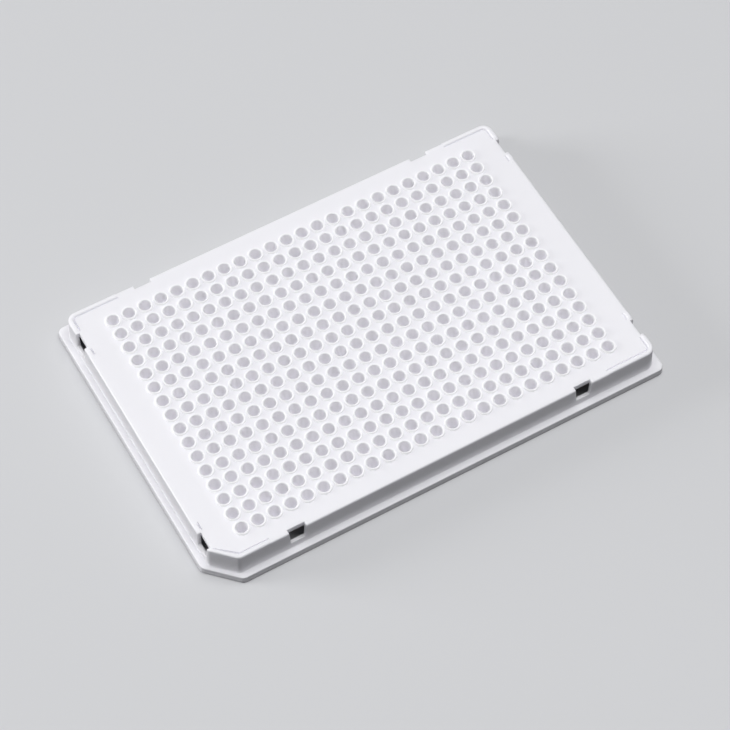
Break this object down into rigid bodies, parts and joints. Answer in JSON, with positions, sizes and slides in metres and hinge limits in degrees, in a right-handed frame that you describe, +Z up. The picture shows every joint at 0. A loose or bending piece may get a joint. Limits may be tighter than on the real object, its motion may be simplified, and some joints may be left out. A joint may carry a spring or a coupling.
{
  "type": "well plate",
  "caption": "Shallow white skirted microplate, one moulding: a dense grid of conical wells with raised rims, gripper notches, one cut corner and an open underside.",
  "frame": {"origin": "centre of the footprint, on the plane the plate rests on", "axes": "+X along the rows of the long side, +Y across them towards the back, +Z up out of the wells' mouths; the cut corner is at -X, -Y"},
  "size_m": [0.1278, 0.0854, 0.0097],
  "materials": {
    "white_polypropylene": "white moulded polypropylene, semi-gloss"
  },
  "bodies": {
    "root": {"well_plate": "white_polypropylene"}
  },
  "joints": []
}
